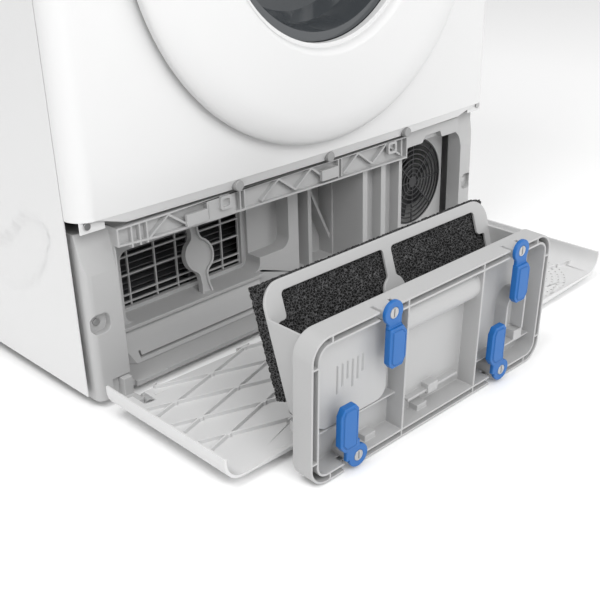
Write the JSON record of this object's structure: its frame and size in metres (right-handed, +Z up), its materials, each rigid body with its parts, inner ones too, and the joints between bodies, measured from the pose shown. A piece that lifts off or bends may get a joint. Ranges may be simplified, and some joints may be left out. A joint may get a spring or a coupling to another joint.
{
  "type": "clothes dryer",
  "caption": "Full-size front-loading heat pump clothes dryer with its service flap folded down and the fluff filter stood in front.",
  "frame": {"origin": "middle of the bounding box's footprint, on the floor", "axes": "+X to the right across the front, +Y from the front to the rear, +Z up"},
  "size_m": [0.598, 0.8423, 0.842],
  "materials": {
    "white_steel": "white enamel, soft gloss",
    "white_plastic": "white moulded plastic, satin",
    "base_plastic": "mid grey moulded plastic",
    "filter_plastic": "light grey moulded plastic",
    "lever_plastic": "blue moulded plastic, satin",
    "foam": "black open-cell foam",
    "dark_plastic": "black moulded plastic",
    "display": "black gloss",
    "steel": "galvanised steel",
    "screw_steel": "bright zinc",
    "fins": "aluminium fins",
    "copper": "copper pipe",
    "bronze": "sintered bronze",
    "seal_rubber": "grey rubber",
    "glass": "tinted glass"
  },
  "bodies": {
    "cabinet": {"side_panel_left": "white_steel", "side_panel_right": "white_steel", "rear_panel": "steel", "top_panel": "white_steel", "front_panel": "white_steel", "control_fascia": "white_plastic", "display_window": "display", "door_hinge_bracket": "steel", "door_lock": "dark_plastic", "door_seal": "seal_rubber", "front_bulkhead": "base_plastic", "bearing_bush": "bronze", "drive_belt": "seal_rubber", "drive_motor": "steel", "blower_housing": "base_plastic", "base_tub": "base_plastic", "base_front": "base_plastic", "evaporator": "fins", "condenser": "fins", "compressor": "dark_plastic", "refrigerant_pipes": "copper", "condensate_pump": "dark_plastic", "fan_guard": "dark_plastic", "cross_beam": "base_plastic", "buffers": "seal_rubber", "exchanger_grid": "filter_plastic", "lower_cover": "base_plastic", "levelling_feet": "dark_plastic", "flap_hinge_brackets": "base_plastic", "panel_screws": "screw_steel", "mains_inlet": "dark_plastic", "drain_spigot": "base_plastic"},
    "water_tank": {"tank_drawer": "white_plastic"},
    "program_knob": {"program_knob": "steel"},
    "power_button": {"power_button": "steel"},
    "start_button": {"start_button": "steel"},
    "door": {"door_ring": "white_plastic", "door_glass": "glass", "door_inner_frame": "dark_plastic", "door_hinge_arm": "steel", "door_latch_hook": "steel"},
    "lint_filter": {"lint_filter": "filter_plastic"},
    "drum": {"drum_shell": "steel", "drum_paddles": "base_plastic", "drum_rear_wall": "steel", "drum_shaft": "steel"},
    "roller_left": {"support_roller_left": "dark_plastic"},
    "roller_right": {"support_roller_right": "dark_plastic"},
    "rotor": {"motor_rotor": "steel", "blower_wheel": "dark_plastic"},
    "cooling_fan": {"cooling_fan": "dark_plastic"},
    "service_flap": {"service_flap": "white_plastic"},
    "fluff_filter": {"filter_plate": "filter_plastic", "filter_frame": "filter_plastic", "filter_foam": "foam", "lever_screws": "screw_steel"},
    "lever_upper_left": {"lever_upper_left": "lever_plastic"},
    "lever_upper_right": {"lever_upper_right": "lever_plastic"},
    "lever_lower_left": {"lever_lower_left": "lever_plastic"},
    "lever_lower_right": {"lever_lower_right": "lever_plastic"}
  },
  "joints": [
    {"name": "door_hinge", "type": "hinge", "parent": "cabinet", "child": "door", "pos_m": [0.242, -0.1935, 0.438], "axis": [0, 0, 1], "range_deg": [0, 165]},
    {"name": "flap_hinge", "type": "hinge", "parent": "cabinet", "child": "service_flap", "pos_m": [0, -0.1825, 0.005], "axis": [-1, 0, 0], "range_deg": [0, 90.8]},
    {"name": "filter_lift", "type": "slide", "parent": "cabinet", "child": "fluff_filter", "axis": [0, 0, 1], "range_m": [0, 0.045]},
    {"name": "drum_spin", "type": "hinge", "parent": "cabinet", "child": "drum", "pos_m": [0, 0.1225, 0.49], "axis": [0, 1, 0], "continuous": true},
    {"name": "rotor_spin", "type": "hinge", "parent": "cabinet", "child": "rotor", "pos_m": [0.17, 0.1185, 0.12], "axis": [0, 1, 0], "continuous": true},
    {"name": "roller_left_spin", "type": "hinge", "parent": "cabinet", "child": "roller_left", "pos_m": [-0.1492, -0.0995, 0.2315], "axis": [0, 1, 0], "continuous": true},
    {"name": "roller_right_spin", "type": "hinge", "parent": "cabinet", "child": "roller_right", "pos_m": [0.1492, -0.0995, 0.2315], "axis": [0, 1, 0], "continuous": true},
    {"name": "fan_spin", "type": "hinge", "parent": "cabinet", "child": "cooling_fan", "pos_m": [0.206, -0.1165, 0.099], "axis": [0, 1, 0], "continuous": true},
    {"name": "tank_slide", "type": "slide", "parent": "cabinet", "child": "water_tank", "axis": [0, -1, 0], "range_m": [0, 0.3]},
    {"name": "lint_slide", "type": "slide", "parent": "cabinet", "child": "lint_filter", "axis": [0, 0, 1], "range_m": [0, 0.018]},
    {"name": "knob_turn", "type": "hinge", "parent": "cabinet", "child": "program_knob", "pos_m": [-0.03, -0.1775, 0.76], "axis": [0, -1, 0], "continuous": true},
    {"name": "power_press", "type": "slide", "parent": "cabinet", "child": "power_button", "axis": [0, 1, 0], "range_m": [0, 0.002], "stiffness_N_per_m": 400},
    {"name": "start_press", "type": "slide", "parent": "cabinet", "child": "start_button", "axis": [0, 1, 0], "range_m": [0, 0.002], "stiffness_N_per_m": 400},
    {"name": "lever_upper_left_turn", "type": "hinge", "parent": "fluff_filter", "child": "lever_upper_left", "pos_m": [-0.15902, -0.4126, 0.13623], "axis": [0.0209, 0.999, 0.0401], "range_deg": [0, 90]},
    {"name": "lever_upper_right_turn", "type": "hinge", "parent": "fluff_filter", "child": "lever_upper_right", "pos_m": [0.01994, -0.41636, 0.13673], "axis": [0.0209, 0.999, 0.0401], "range_deg": [0, 90]},
    {"name": "lever_lower_left_turn", "type": "hinge", "parent": "fluff_filter", "child": "lever_lower_left", "pos_m": [-0.19591, -0.40693, 0.01433], "axis": [0.0209, 0.999, 0.0401], "range_deg": [0, 90]},
    {"name": "lever_lower_right_turn", "type": "hinge", "parent": "fluff_filter", "child": "lever_lower_right", "pos_m": [0.00705, -0.41118, 0.01433], "axis": [0.0209, 0.999, 0.0401], "range_deg": [0, 90]}
  ],
  "couplings": [
    {"joint": "rotor_spin", "follows": "drum_spin", "ratio": 27.8},
    {"joint": "roller_left_spin", "follows": "drum_spin", "ratio": -13.9},
    {"joint": "roller_right_spin", "follows": "drum_spin", "ratio": -13.9}
  ]
}
